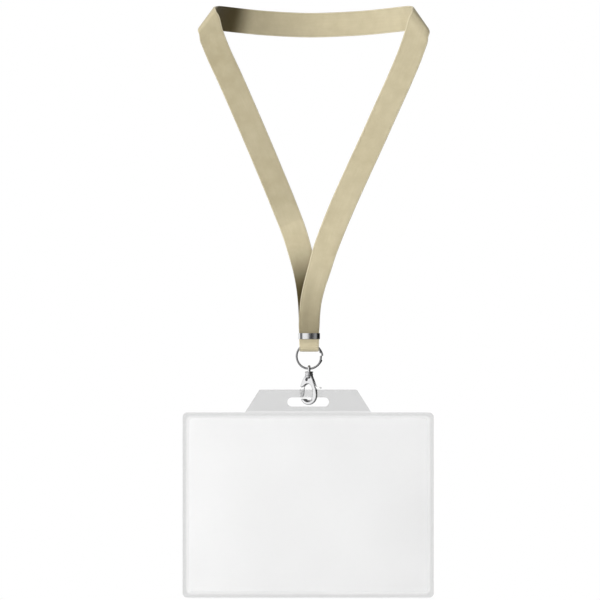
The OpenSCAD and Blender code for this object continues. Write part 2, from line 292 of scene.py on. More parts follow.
def mesh_from(name, vertices, faces):
    mesh = bpy.data.meshes.new(name)
    mesh.from_pydata([tuple(v) for v in vertices], [], [tuple(f) for f in faces])
    clean = bmesh.new()
    clean.from_mesh(mesh)
    bmesh.ops.recalc_face_normals(clean, faces=clean.faces)
    clean.to_mesh(mesh)
    clean.free()
    return mesh


def join_meshes(name, meshes):
    """One mesh that holds several closed shells."""
    whole = bmesh.new()
    for mesh in meshes:
        whole.from_mesh(mesh)
    joined = bpy.data.meshes.new(name)
    whole.to_mesh(joined)
    whole.free()
    return joined


def tube_faces(rings, sides):
    """Quads between rings of points, with flat ends."""
    faces = []
    for i in range(rings - 1):
        a, b = i * sides, (i + 1) * sides
        faces += [(a + k, a + (k + 1) % sides, b + (k + 1) % sides, b + k) for k in range(sides)]
    faces.append(tuple(range(sides)))
    faces.append(tuple(reversed(range((rings - 1) * sides, rings * sides))))
    return faces


def on_superellipse(half_w, half_h, power, turn):
    """The point that lies a share of a turn round the section."""
    a = 2 * math.pi * turn
    c, s = math.cos(a), math.sin(a)
    return (half_w * math.copysign(abs(c) ** (2 / power), c),
            half_h * math.copysign(abs(s) ** (2 / power), s))


def superellipse(half_w, half_h, power, count):
    """Points round a section between an ellipse (power 2) and a rectangle."""
    return [on_superellipse(half_w, half_h, power, k / count) for k in range(count)]


def lathe(name, profile, count=48):
    """Turns (radius, height) pairs about Z; the first and last radius may be 0."""
    turns = [2 * math.pi * k / count for k in range(count)]
    vertices = [(radius * math.cos(a), radius * math.sin(a), height)
                for radius, height in profile for a in turns]
    return mesh_from(name, vertices, tube_faces(len(profile), count))


def plate(name, loops, half_t, edge):
    """A flat solid in the XZ plane with rounded edges, from outlines in x and z."""
    curve = bpy.data.curves.new(name, "CURVE")
    curve.dimensions = "2D"
    curve.fill_mode = "BOTH"
    curve.extrude = half_t - edge
    curve.bevel_depth = edge
    curve.bevel_resolution = 4
    curve.offset = -edge
    for loop in loops:
        spline = curve.splines.new("POLY")
        spline.points.add(len(loop) - 1)
        for point, (x, z) in zip(spline.points, loop):
            point.co = (x, z, 0, 1)
        spline.use_cyclic_u = True
    holder = bpy.data.objects.new(name, curve)
    bpy.context.scene.collection.objects.link(holder)
    mesh = bpy.data.meshes.new_from_object(holder.evaluated_get(bpy.context.evaluated_depsgraph_get()))
    bpy.data.objects.remove(holder)
    clean = bmesh.new()
    clean.from_mesh(mesh)
    bmesh.ops.remove_doubles(clean, verts=clean.verts, dist=1e-7)
    bmesh.ops.rotate(clean, verts=clean.verts, matrix=Matrix.Rotation(math.radians(90), 3, "X"))
    bmesh.ops.recalc_face_normals(clean, faces=clean.faces)
    clean.to_mesh(mesh)
    clean.free()
    return mesh


def smooth_loop(points, steps=6):
    """A closed curve through points, as a Catmull-Rom spline, in metres."""
    p = np.array(points, float) * MM
    n = len(p)
    out = []
    for i in range(n):
        a, b, c, d = p[i - 1], p[i], p[(i + 1) % n], p[(i + 2) % n]
        for k in range(steps):
            t = k / steps
            out.append(0.5 * (2 * b + (c - a) * t + (2 * a - 5 * b + 4 * c - d) * t * t
                              + (3 * b - a - 3 * c + d) * t ** 3))
    return out


def arc(cx, cz, radius, start, stop, count):
    """Points in millimetres round part of a circle, angles in degrees."""
    turns = [math.radians(start + (stop - start) * i / count) for i in range(count + 1)]
    return [(cx + radius * math.cos(a), cz + radius * math.sin(a)) for a in turns]


def combine(name, solid, others, operation):
    """Applies boolean modifiers to a mesh and returns the result."""
    holders = [bpy.data.objects.new(name, solid)] + [bpy.data.objects.new("other", m) for m in others]
    for holder in holders:
        bpy.context.scene.collection.objects.link(holder)
    for other in holders[1:]:
        change = holders[0].modifiers.new("bool", "BOOLEAN")
        change.operation = operation
        change.solver = "EXACT"
        change.object = other
    mesh = bpy.data.meshes.new_from_object(holders[0].evaluated_get(bpy.context.evaluated_depsgraph_get()))
    for holder in holders:
        bpy.data.objects.remove(holder)
    return mesh


def melt(name, mesh, voxel):
    """Remeshes a solid finely and evenly, ready for smoothing."""
    holder = bpy.data.objects.new(name, mesh)
    bpy.context.scene.collection.objects.link(holder)
    remesh = holder.modifiers.new("remesh", "REMESH")
    remesh.mode = "VOXEL"
    remesh.voxel_size = voxel
    result = bpy.data.meshes.new_from_object(holder.evaluated_get(bpy.context.evaluated_depsgraph_get()))
    bpy.data.objects.remove(holder)
    return result


def box_mesh(name, low, high):
    """A box between two corners in millimetres, for cutting."""
    corners = [(x * MM, y * MM, z * MM) for x in (low[0], high[0]) for y in (low[1], high[1])
               for z in (low[2], high[2])]
    faces = [(0, 1, 3, 2), (4, 6, 7, 5), (0, 4, 5, 1), (2, 3, 7, 6), (0, 2, 6, 4), (1, 5, 7, 3)]
    return mesh_from(name, corners, faces)


def step_up(distance, width):
    """A smooth rise from 0 to 1 over a width."""
    t = min(1, max(0, distance / width))
    return t * t * (3 - 2 * t)


# ---------------------------------------------------------------- ribbon

RIBBON_WIDTH = 16 * MM
# x, y, z, angle of the width in the XZ plane in degrees, share of the full width
ROUTE = [
    (0, -44.1, -198.5, 0, 0.8), (0, -44.1, -202, 0, 0.8), (0, -44.1, -204.3, 0, 0.8),
    (0, -42.7, -205.8, 0, 0.79), (0, -41.9, -207.3, 0, 0.78), (0, -41.8, -208.6, 0, 0.77),
    (0, -42.7, -210.9, 0, 0.76), (0, -45, -211.8, 0, 0.76), (0, -47.3, -210.9, 0, 0.76),
    (0, -48.2, -208.6, 0, 0.77), (0, -48.1, -207.3, 0, 0.78), (0, -47.3, -205.8, 0, 0.79),
    (0, -45.9, -204.3, 0, 0.8), (0, -45.9, -202, 0, 0.8), (0, -45.9, -200, 0, 0.8),
    (0, -46, -196, 0, 0.83), (0.4, -46.3, -188, -3, 0.83), (1.2, -46.6, -180, -8, 0.85),
    (3.4, -46.9, -170, -14, 0.88), (6.4, -47.1, -160, -18, 0.92), (9.6, -47.4, -149, -20, 0.96),
    (13.6, -47.6, -138, -22, 0.98), (21.8, -47.8, -118, -23.5, 1), (30.8, -47.9, -98, -24, 1),
    (40, -48, -78, -24, 1), (49, -48, -58, -24, 1), (58, -48, -38, -25, 1),
    (64.6, -48, -22, -30, 1), (68, -48, -12, -42, 1), (70, -48, -5, -53, 1),
    (71.2, -46.8, -1.8, -53, 1), (71.2, -44, 0.2, -54, 1), (70, -36.5, 1.6, -60, 1),
    (66.8, -29, 2.2, -66, 1), (60.6, -20.6, 2.2, -73, 1), (51, -12.8, 1.8, -79, 1),
    (37, -6, 1, -85, 1), (20, -1.6, 0.4, -88, 1), (0, 0, 0, -90, 1),
    (-16, -1.6, 0.4, -92, 1), (-31, -6, 1, -95, 1), (-45, -12.8, 1.8, -101, 1),
    (-54.6, -20.6, 2.2, -107, 1), (-60.8, -29, 2.2, -114, 1), (-64, -36.5, 1.6, -121, 1),
    (-65.2, -44, 0.8, -127, 1), (-65.2, -46.8, -1, -128, 1), (-64, -48, -4, -128, 1),
    (-62, -48, -11, -138, 1), (-58.6, -48, -20, -150, 1), (-50.4, -48, -38, -155, 1),
    (-41.6, -48, -58, -156, 1), (-33, -48, -78, -156, 1), (-24.6, -47.9, -98, -156, 1),
    (-16.4, -47.5, -118, -157, 1), (-8.8, -46.8, -138, -160, 0.98), (-5.6, -46.2, -149, -163, 0.96),
    (-2.9, -45.7, -160, -167, 0.92), (-1.3, -45.3, -170, -171, 0.88), (-0.4, -45.1, -180, -175, 0.85),
    (0, -45, -190, -178, 0.83), (0, -45, -198, -180, 0.81), (0, -45, -201, -180, 0.8),
    (0, -45, -203.8, -180, 0.8)]


def through_route(spacing):
    """The route's five columns, sampled evenly along a smooth curve through its rows."""
    rows = np.array(ROUTE, float)
    rows[:, :3] *= MM
    s = np.concatenate(([0], np.cumsum(np.linalg.norm(np.diff(rows[:, :3], axis=0), axis=1))))
    step = np.diff(s)[:, None]
    secant = np.diff(rows, axis=0) / step
    between = (step[1:] * secant[:-1] + step[:-1] * secant[1:]) / (step[1:] + step[:-1])
    slope = np.vstack((secant[:1], between, secant[-1:]))
    at = np.linspace(0, s[-1], int(s[-1] / spacing))
    k = np.clip(np.searchsorted(s, at, side="right") - 1, 0, len(step) - 1)
    h = step[k, 0]
    t = ((at - s[k]) / h)[:, None]
    h = h[:, None]
    return ((2 * t ** 3 - 3 * t ** 2 + 1) * rows[k] + (t ** 3 - 2 * t ** 2 + t) * h * slope[k]
            + (3 * t ** 2 - 2 * t ** 3) * rows[k + 1] + (t ** 3 - t ** 2) * h * slope[k + 1])


def ribbon_section(count=18):
    """Half-width share, half-thickness and side of each point round the ribbon's section."""
    across = [math.sin(math.pi / 2 * (2 * k / count - 1)) for k in range(count + 1)]

    def half_t(u):
        selvage = 0.05 * math.exp(-((abs(u) - 0.94) / 0.03) ** 2)
        return (0.36 * math.sqrt(max(0, 1 - abs(u) ** 30)) + selvage) * MM
    top = [(u, half_t(u)) for u in across]
    bottom = [(u, -half_t(u)) for u in reversed(across[1:-1])]
    return top + bottom


# Heights in millimetres: the crimp, the top of the painted shade where the left strap goes behind the right
# one, and the foot of the neck band
CRIMP_Z, NOTCH_Z, BAND_Z = -201, -130, -2


def painted_shade_level(place, share):
    """How dark the painted shade on the ribbon is: growing towards the crimp on both straps, deepest on the
    left strap where it goes behind the right one, deep at the left end of the neck band beside the left
    fold, and light along the upper left strap.
    """
    x, y, z = (part / MM for part in place)
    left_strap = share > 0.5
    if z < CRIMP_Z:
        return 0.0
    if z < NOTCH_Z:
        return 0.96 * step_up(-140 - z, 34) if left_strap else 0.58 * step_up(-150 - z, 62)
    if left_strap and z > BAND_Z and x < 0:
        return 0.93 * step_up(-35 - x, 15) * step_up(y + 40, 11)
    if left_strap and z < BAND_Z:
        return 0.2 * step_up(z + 145, 35)
    return 0.0


def make_ribbon():
    rows = through_route(1.3 * MM)
    centre = rows[:, :3]
    angle = np.radians(rows[:, 3])
    along = np.gradient(centre, axis=0)
    along /= np.linalg.norm(along, axis=1)[:, None]
    width_way = np.column_stack((np.cos(angle), np.zeros(len(rows)), np.sin(angle)))
    normal = np.cross(along, width_way)
    slant = np.linalg.norm(normal, axis=1)
    normal /= slant[:, None]
    half = RIBBON_WIDTH / 2 * rows[:, 4] / slant
    gathered = np.clip((1 - rows[:, 4]) / 0.12, 0, 1) * np.clip((rows[:, 4] - 0.8) / 0.03, 0, 1)
    section = ribbon_section()
    pleat_depth, ripple_depth, ripple_pitch = 0.16 * MM, 0.10 * MM, 9 * MM
    back_share = 0.2
    length = np.concatenate(([0], np.cumsum(np.linalg.norm(np.diff(centre, axis=0), axis=1))))
    vertices = []
    uv = []
    for i in range(len(rows)):
        for u, offset in section:
            pleat = pleat_depth * gathered[i] * math.cos(5 * u)
            ripple = ripple_depth * math.sin(length[i] / ripple_pitch) * u * u
            vertices.append(centre[i] + u * half[i] * width_way[i] + (offset + pleat + ripple) * normal[i])
            uv.append((u * RIBBON_WIDTH / 2, length[i]))
    mesh = mesh_from("ribbon_woven", vertices, tube_faces(len(rows), len(section)))
    painted_shade = mesh.attributes.new("painted_shade", "FLOAT", "POINT")
    for k, value in enumerate(painted_shade.data):
        i = k // len(section)
        # Painted shade: full strength on the ribbon's face towards the front, and back_share of it on the
        # back face.
        front = step_up(centre[i][1] - vertices[k][1] + 0.15 * MM, 0.3 * MM)
        shade_level = painted_shade_level(Vector(centre[i]), i / len(rows))
        value.value = shade_level * (back_share + (1 - back_share) * front)
    layer = mesh.uv_layers.new(name="ribbon")
    for loop in mesh.loops:
        layer.data[loop.index].uv = uv[loop.vertex_index]
    piece = make_piece("ribbon_woven", mesh, RIBBON, "strap", ["ribbon"], sharp=60)
    [tuple(p) for p in centre]


make_ribbon()


# ---------------------------------------------------------------- crimp

def make_crimp():
    """Sheet metal wrapped round the ribbon, bulged in front, edges rolled, seam behind."""
    low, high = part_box("crimp")
    centre = (low + high) / 2
    size = high - low
    wall = 0.45 * MM
    bulge = 0.42 * MM
    rolled = 0.16 * MM
    waist = 0.06 * MM
    seam_share = 0.02
    rows, steps = 9, 72
    section = []
    for k in range(steps + 1):
        turn = 0.25 + seam_share / 2 + (1 - seam_share) * k / steps
        x, y = on_superellipse(size.x / 2, size.y / 2, 7, turn)
        section.append((x, y, Vector((x / size.x, y / size.y, 0)).normalized()))
    levels = []
    for j in range(rows):
        v = 2 * j / (rows - 1) - 1
        levels.append((v * size.z / 2, -rolled if j in (0, rows - 1) else -waist * (1 - v ** 8)))
    vertices = []
    for z, inset in levels:
        for x, y, way in section:
            forward = bulge * (1 - (2 * x / size.x) ** 2) if y < 0 else 0
            vertices.append(centre + Vector((x + way.x * inset, y + way.y * inset - forward, z)))
    for z, _ in reversed(levels):
        for x, y, way in section:
            vertices.append(centre + Vector((x - way.x * wall, y - way.y * wall, z * 0.98)))
    across, around = len(section), 2 * rows
    faces = []
    for i in range(around):
        a, b = i * across, (i + 1) % around * across
        faces += [(a + k, a + k + 1, b + k + 1, b + k) for k in range(across - 1)]
    for side in (0, across - 1):
        faces.append([i * across + side for i in range(around)])
    mesh = mesh_from("crimp_band", vertices, faces)
    make_piece("crimp_band", mesh, CRIMP_STEEL, "strap", ["crimp"])


make_crimp()


# ---------------------------------------------------------------- split ring

def make_ring():
    """Flattened wire wound twice, crossing from the front turn to the back one. Angles in degrees."""
    low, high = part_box("split_ring")
    outer = (high.x - low.x) / 2
    wire = 1.3 * MM
    turn = 0.95 * MM
    side = (high.y - low.y) / 2 - turn / 2
    cross = 24
    lap = 8
    spread = 0.45 * MM
    spread_reach = 28
    tip_taper = 0.35
    section = superellipse(wire / 2, turn / 2, 3.2, 20)
    steps = 240
    start, stop = cross - lap, 720 - cross + lap
    vertices = []
    for i in range(steps + 1):
        a = start + (stop - start) * i / steps
        y = side * (2 * step_up(a - 360 + cross, 2 * cross) - 1)
        taper = 1 - tip_taper * math.exp(-min(a - start, stop - a) / 1.5)
        angle = math.radians(a)
        apart = spread * math.exp(-(math.remainder(a, 360) / spread_reach) ** 2) * (1 if a > 360 else -1)
        for u, v in section:
            radius = outer - wire / 2 + u * taper + apart
            vertices.append((RING_CENTRE.x + radius * math.cos(angle), RING_CENTRE.y + y + v * taper,
                             RING_CENTRE.z + radius * math.sin(angle)))
    mesh = mesh_from("split_ring_wire", vertices, tube_faces(steps + 1, len(section)))
    make_piece("split_ring_wire", mesh, RING_STEEL, "ring", ["split_ring"], sharp=50)


make_ring()


# ---------------------------------------------------------------- swivel eye

def stadium_path(half_flat, radius, foot, steps=14):
    """Y and Z along an arch: up one side, over the top, down the other, in metres."""
    right = [(half_flat + radius, foot * (1 - k / 4)) for k in range(4)]
    over = [(half_flat + radius * math.cos(a), radius * math.sin(a))
            for a in (math.pi / 2 * k / steps for k in range(steps + 1))]
    half = right + over
    return half + [(-y, z) for y, z in reversed(half)]


def make_eye():
    """Arch of round wire on a collar, with the shank and its peened head in the barrel."""
    low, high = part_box("swivel_eye")
    wire = 0.75 * MM
    bend = 1.6 * MM
    half_flat = 0.35 * MM
    bend_z = high.z - wire - bend
    collar_r = (high.y - low.y) / 2
    collar_low, collar_high = 0.05 * MM, 0.8 * MM
    rounding = 0.25 * MM
    shank_r, head_r = 0.95 * MM, 1.6 * MM
    head_low = low.z - BARREL_TOP.z
    sides = 20
    arch_low = 0.45 * MM
    path = stadium_path(half_flat, bend, BARREL_TOP.z + arch_low - bend_z)
    vertices = []
    for i, (y, z) in enumerate(path):
        before, after = path[max(i - 1, 0)], path[min(i + 1, len(path) - 1)]
        ty, tz = after[0] - before[0], after[1] - before[1]
        size = math.hypot(ty, tz)
        ny, nz = -tz / size, ty / size
        for u, v in superellipse(wire, wire * 1.15, 2, sides):
            vertices.append((HANG.x + v, HANG.y + y + ny * u, bend_z + z + nz * u))
    arch = mesh_from("arch", vertices, tube_faces(len(path), sides))
    head = [(0, head_low), (head_r - 0.3 * MM, head_low), (head_r, head_low + rounding),
            (head_r, head_low + 0.6 * MM), (shank_r, head_low + 0.8 * MM)]
    collar = [(shank_r, collar_low), (collar_r - rounding, collar_low), (collar_r, rounding),
              (collar_r, collar_high - rounding), (collar_r - 0.3 * MM, collar_high),
              (0, collar_high + 0.1 * MM)]
    stem = lathe("stem", head + collar)
    stem.transform(Matrix.Translation((HANG.x, HANG.y, BARREL_TOP.z)))
    mesh = join_meshes("swivel_eye_loop", [arch, stem])
    make_piece("swivel_eye_loop", mesh, CHROME, "eye", ["swivel_eye"])


make_eye()


# ---------------------------------------------------------------- hook body

# Bow centre across the hook, and its radii, in millimetres
BOW_X, BOW_OUTER, BOW_INNER = -0.4, 6.5, 3.4
# Share of the housing's thickness that the bow keeps, and where its front face lies
BOW_THIN = 0.68
BOW_FACE = -0.95 * MM


def hook_outline():
    """The casting seen face-on: housing, spine, bow and tip, in metres."""
    right = [(2.3, 12.3), (2.75, 11.2), (3.5, 9.8), (4.3, 8.0), (5.15, 5.8), (5.8, 3.4)]
    bow_out = arc(BOW_X, 0, BOW_OUTER, 8, -150, 28)
    nose = [(-5.6, -2.7), (-3.4, -2.7)]
    bow_in = arc(BOW_X, 0, BOW_INNER, -133, 0, 20)
    crown = [(3.0, 2.4), (2.7, 4.4), (1.9, 5.9), (0.6, 6.7), (-0.9, 6.8), (-2.3, 6.2), (-3.5, 5.2)]
    left = [(-4.7, 4.5), (-6.0, 4.5), (-6.1, 5.4), (-5.3, 7.6), (-4.2, 9.8), (-3.0, 11.4), (-2.3, 12.3)]
    points = right + bow_out + nose + bow_in[1:] + crown + left
    return [(x * MM, z * MM) for x, z in points]


def seat_front(place):
    """Front face of the bow, sloped down to its inner edge where the gate and the tab lie."""
    reach = 1.5
    x, z = place.x / MM - BOW_X, place.z / MM
    turn = math.degrees(math.atan2(z, x))
    share = step_up(turn + 152, 14) * (1 - step_up(turn + 62, 30))
    slope = max(0, BOW_INNER + reach - math.hypot(x, z)) * share * MM
    return max(place.y, BOW_FACE + slope) if slope > 0 and place.y < 0.6 * MM else place.y


def make_barrel():
    """Swivel barrel with two ribs, its top at height 0."""
    wide, narrow, edge = 2.55, 2.3, 2.45
    profile = [(0, -3.6), (2.0, -3.6), (edge, -3.0), (wide, -2.6), (narrow, -2.3), (narrow, -1.75),
               (wide, -1.5), (wide, -0.9), (narrow, -0.65), (narrow, -0.4), (edge, -0.15), (narrow, 0),
               (0, 0)]
    return lathe("barrel", [(r * MM, z * MM) for r, z in profile])


def make_hook_body():
    """Housing, barrel and bow cast in one, hollowed for the lever and the shank, then polished."""
    casting = plate("casting", [hook_outline()], 1.4 * MM, 0.75 * MM)
    for vertex in casting.vertices:
        vertex.co.y *= BOW_THIN + (1 - BOW_THIN) * step_up(vertex.co.z - 1.5 * MM, 4 * MM)
    barrel = make_barrel()
    slot = box_mesh("slot", (-9, -0.72, 3.2), (9, 0.72, 11.0))
    bore_r, cavity_r = 1.02 * MM, 1.85 * MM
    bore = lathe("bore", [(0, -1.6 * MM), (bore_r, -1.6 * MM), (bore_r, 1 * MM), (0, 1 * MM)])
    cavity = lathe("cavity", [(0, -2.9 * MM), (cavity_r, -2.9 * MM), (cavity_r, -1.5 * MM), (0, -1.5 * MM)])
    for mesh in (barrel, bore, cavity):
        mesh.transform(Matrix.Translation((0, 0, BOW_BELOW_BARREL * MM)))
    solid = combine("hook", casting, [barrel], "UNION")
    solid = combine("hook", solid, [slot, bore, cavity], "DIFFERENCE")
    solid = melt("hook_casting", solid, 0.12 * MM)
    shape = bmesh.new()
    shape.from_mesh(solid)
    for vertex in shape.verts:
        vertex.co.y = seat_front(vertex.co)
    for _ in range(6):
        bmesh.ops.smooth_vert(shape, verts=shape.verts, factor=0.5, use_axis_x=True, use_axis_y=True,
                              use_axis_z=True)
    shape.to_mesh(solid)
    shape.free()
    solid.transform(HOOK_FRAME)
    make_piece("hook_casting", solid, CHROME, "hook", ["hook_body"], sharp=70)


make_hook_body()


# ---------------------------------------------------------------- lever, rivet, spring

def make_lever():
    """Gate, hub, arm and thumb nub in one plate, with a round pad on the nub."""
    gate = [(-0.3, 10.4), (-1.5, 10.5), (-3.0, 9.5), (-5.0, 6.9), (-6.6, 4.0), (-7.0, 1.4),
            (-6.75, -1.2), (-6.2, -1.8), (-5.0, -1.6), (-4.0, 0.2), (-3.75, 3.0), (-3.3, 5.8),
            (-2.2, 7.9), (-0.8, 8.3)]
    arm = [(1.4, 7.2), (3.5, 5.1), (5.3, 4.15), (7.4, 4.05), (8.4, 4.2), (8.5, 4.9), (7.4, 5.05),
           (5.7, 5.25), (4.5, 6.5), (2.9, 8.3), (0.9, 9.3)]
    lever = plate("lever", [smooth_loop(gate + arm, 5)], 0.55 * MM, 0.28 * MM)
    profile = [(0, 0), (0.7, 0), (0.95, 0.12), (1.0, 0.4), (0.93, 0.75), (0.7, 0.98), (0.35, 1.08),
               (0, 1.1)]
    pad = lathe("pad", [(r * MM, z * MM) for r, z in profile], 32)
    pad.transform(Matrix.Translation((8.4 * MM, 0, 4 * MM)))
    mesh = join_meshes("gate_plate", [lever, pad])
    mesh.transform(HOOK_FRAME)
    piece = make_piece("gate_plate", mesh, GATE_STEEL, "gate", ["gate_lever"], sharp=50)
    piece.modifiers.new("flat_faces", "WEIGHTED_NORMAL").keep_sharp = True


def make_rivet():
    """Domed heads on both cheeks with the pin between them."""
    cheek = 1.38 * MM
    head = 0.95 * MM
    pin = 0.6 * MM
    dome = [(pin, cheek), (head, cheek), (head, cheek + 0.08 * MM), (head * 0.85, cheek + 0.2 * MM),
            (head * 0.5, cheek + 0.28 * MM), (0, cheek + 0.3 * MM)]
    mesh = lathe("rivet_pin", [(r, -h) for r, h in reversed(dome)] + dome, 32)
    mesh.transform(Matrix.Rotation(math.radians(90), 4, "X"))
    mesh.transform(Matrix.Translation(RIVET) @ Matrix.Rotation(-HOOK_YAW, 4, "Z"))
    make_piece("rivet_pin", mesh, RIVET_STEEL, "hook", ["gate_rivet"])


def make_spring():
    """Small compression coil over the lever's arm."""
    low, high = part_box("gate_spring")
    wire = 0.13 * MM
    coil = 0.42 * MM
    centre = (low + high) / 2
    height = high.z - low.z - 2 * wire
    turns, per_turn, sides = 4, 20, 10
    steps = turns * per_turn
    vertices = []
    for i in range(steps + 1):
        a = 2 * math.pi * i / per_turn
        z = centre.z - height / 2 + height * i / steps
        for u, v in superellipse(wire, wire, 2, sides):
            radius = coil + u
            vertices.append((centre.x + radius * math.cos(a), centre.y + radius * math.sin(a), z + v))
    mesh = mesh_from("spring_coil", vertices, tube_faces(steps + 1, sides))
    make_piece("spring_coil", mesh, SPRING_STEEL, "hook", ["gate_spring"])


make_lever()
make_rivet()
make_spring()


# ---------------------------------------------------------------- pouch

film_low, film_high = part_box("front_film")
POUCH_X = (film_low.x + film_high.x) / 2
POUCH_W = film_high.x - film_low.x
POUCH_H = 118 * MM
POUCH_MID = film_low.z + POUCH_H / 2
TAB_H = film_high.z - film_low.z - POUCH_H
TAB_TOP_HALF = 31 * MM
TAB_BASE_HALF = 40.25 * MM
CORNER = 3 * MM
CORNER_STEPS = 8
BORDER = 3 * MM
WINDOW_CORNER = 2.2 * MM
FILM_T = 0.4 * MM
POCKET = 0.35 * MM
# Each film stays this far from the plane where the two are welded, so no faces coincide
WELD_GAP = 0.01 * MM
# How strongly the weld tone shows: along the border, and in the pale strip at the tab's foot
BORDER_WELD, STRIP_WELD = 0.7, 0.35
SLOT_HALF_W = 13.25 * MM
SLOT_HALF_H = 2.9 * MM
SLOT_DOWN = 5 * MM
# The slot's middle, above the middle of the pouch
SLOT_UP = POUCH_H / 2 + TAB_H - SLOT_DOWN - SLOT_HALF_H


def rounded(half_w, half_h, radius, count=CORNER_STEPS):
    """Corner points round a rounded rectangle, anticlockwise, in metres."""
    out = []
    for quarter, (sx, sz) in enumerate(((1, 1), (-1, 1), (-1, -1), (1, -1))):
        for k in range(count + 1):
            a = math.pi / 2 * (quarter + k / count)
            out.append((sx * (half_w - radius) + radius * math.cos(a),
                        sz * (half_h - radius) + radius * math.sin(a)))
    return out


def sheet_outline():
    """The film's edge: rounded body with the tab on top."""
    h = POUCH_H / 2
    body = rounded(POUCH_W / 2, h, CORNER)
    right = [(TAB_BASE_HALF, h)]
    for out, down in ((0.55, 0.85), (0.25, 0.3), (-0.5, 0)):
        right.append((TAB_TOP_HALF + out * MM, h + TAB_H - down * MM))
    left = [(-x, z) for x, z in reversed(right)]
    return body[:CORNER_STEPS + 1] + right + left + body[CORNER_STEPS + 1:]


def resample(loop, spacing):
    """Points along a closed loop no further apart than spacing, corners kept."""
    out = []
    for (x0, z0), (x1, z1) in zip(loop, loop[1:] + loop[:1]):
        n = max(1, math.ceil(math.hypot(x1 - x0, z1 - z0) / spacing))
        out += [(x0 + (x1 - x0) * k / n, z0 + (z1 - z0) * k / n) for k in range(n)]
    return out


def inside_rounded(x, z, half_w, half_h, radius):
    """How far a point lies inside a rounded rectangle; negative outside."""
    dx, dz = abs(x) - (half_w - radius), abs(z) - (half_h - radius)
    if dx > 0 and dz > 0:
        return radius - math.hypot(dx, dz)
    return radius - max(dx, dz)


def is_within(point, loop):
    """Whether a point lies inside a closed loop, by counting crossings."""
    inside = False
    for (x0, z0), (x1, z1) in zip(loop, loop[1:] + loop[:1]):
        if (z0 > point.y) != (z1 > point.y) and point.x < x0 + (point.y - z0) * (x1 - x0) / (z1 - z0):
            inside = not inside
    return inside


def film_sheet(name, loops, grid, height, thickness):
    """A film as a closed thin solid. height gives the inner face's place from the weld plane."""
    points, edges = [], []
    for loop in loops:
        first = len(points)
        points += loop
        edges += [(first + k, first + (k + 1) % len(loop)) for k in range(len(loop))]
    points += grid
    flat, _, triangles, *_ = delaunay_2d_cdt([Vector(p) for p in points], edges, [], 1, 1e-8)

    def in_hole(triangle):
        middle = sum((flat[i] for i in triangle), Vector((0, 0))) / 3
        return any(is_within(middle, hole) for hole in loops[1:])
    triangles = [t for t in triangles if not in_hole(t)]
    count = len(flat)
    inner = [(p.x, height(p.x, p.y), p.y) for p in flat]
    outer = [(x, y + thickness, z) for x, y, z in inner]
    faces = [tuple(t) for t in triangles] + [tuple(i + count for i in reversed(t)) for t in triangles]
    sides = [(a, b) for t in triangles for a, b in zip(t, t[1:] + t[:1])]
    met = set(sides)
    faces += [(b, a, a + count, b + count) for a, b in sides if (b, a) not in met]
    return mesh_from(name, inner + outer, faces)


def pouch_grid(spacing):
    """Inner points of a film, denser along the edge of the pocket."""
    points = []
    w, h = POUCH_W / 2, POUCH_H / 2
    for inset in (0.7, 1.4, 2.0, 2.4, 2.8, 3.2, 3.6, 4.0, 4.6, 5.4, 6.6):
        i = inset * MM
        points += resample(rounded(w - i, h - i, max(CORNER - i * 0.35, 1.2 * MM), 5), 2.2 * MM)
    middle_inset = 8.5 * MM
    w, h = w - middle_inset, h - middle_inset
    nx, nz = int(2 * w / spacing), int(2 * h / spacing)
    points += [(-w + 2 * w * i / nx, -h + 2 * h * j / nz) for i in range(nx + 1) for j in range(nz + 1)]
    rows, across = 8, 80
    around = 0.6 * MM
    heights = [0.4 * MM, 0.8 * MM, 1.2 * MM] + [TAB_H * j / rows for j in range(1, rows)]
    for up in heights:
        z = POUCH_H / 2 + up
        half = TAB_BASE_HALF - (TAB_BASE_HALF - TAB_TOP_HALF) * up / TAB_H - 1.2 * MM
        for i in range(across + 1):
            x = -half + 2 * half * i / across
            if inside_rounded(x, z - SLOT_UP, SLOT_HALF_W + around, SLOT_HALF_H + around,
                              SLOT_HALF_H + 0.5 * MM) < 0:
                points.append((x, z))
    return points


def make_film(name, side, node):
    """side is -1 for the front film and 1 for the back one."""
    w, h = POUCH_W / 2, POUCH_H / 2

    def window_inset(x, z):
        return inside_rounded(x, z, w - BORDER, h - BORDER, WINDOW_CORNER)

    def height(x, z):
        inset = window_inset(x, z)
        if x > 0:
            inset = min(h - BORDER - abs(z), w - BORDER + x)
        raised = POCKET * step_up(inset + 0.25 * MM, 0.7 * MM)
        bead = 0.10 * MM * math.exp(-((inset + 0.9 * MM) / (0.45 * MM)) ** 2) if inset < 0.3 * MM else 0
        pillow = 0.35 * MM * step_up(inset, 30 * MM)
        wave = 0.10 * MM * math.sin(x / (21 * MM) + side) * math.cos(z / (17 * MM))
        wave *= step_up(inset, 12 * MM)
        hem = 0.16 * MM * step_up(x - w + BORDER + 0.3 * MM, 0.5 * MM) if inset > 0 else 0
        return WELD_GAP + raised + bead + pillow + wave + hem

    slot = [(x, z + SLOT_UP) for x, z in rounded(SLOT_HALF_W, SLOT_HALF_H, SLOT_HALF_H - 0.01 * MM, 10)]
    mesh = film_sheet(name, [resample(sheet_outline(), 2.5 * MM), slot], pouch_grid(4 * MM), height, FILM_T)
    weld = mesh.attributes.new("weld", "FLOAT", "POINT")
    for vertex, value in zip(mesh.vertices, weld.data):
        above = vertex.co.z - h
        fused = BORDER_WELD
        if above > -0.1 * MM:
            fused = STRIP_WELD + (1 - STRIP_WELD) * step_up(above - 0.4 * MM, 0.8 * MM)
        window = step_up(window_inset(vertex.co.x, vertex.co.z) + 0.9 * MM, 0.6 * MM)
        value.value = fused * (1 - window)
    if side < 0:
        mesh.transform(Matrix.Scale(-1, 4, (0, 1, 0)))
        mesh.flip_normals()
    mesh.transform(Matrix.Translation((POUCH_X, HANG.y, POUCH_MID)))
    make_piece(name, mesh, FILM, "pouch", [node], sharp=60)


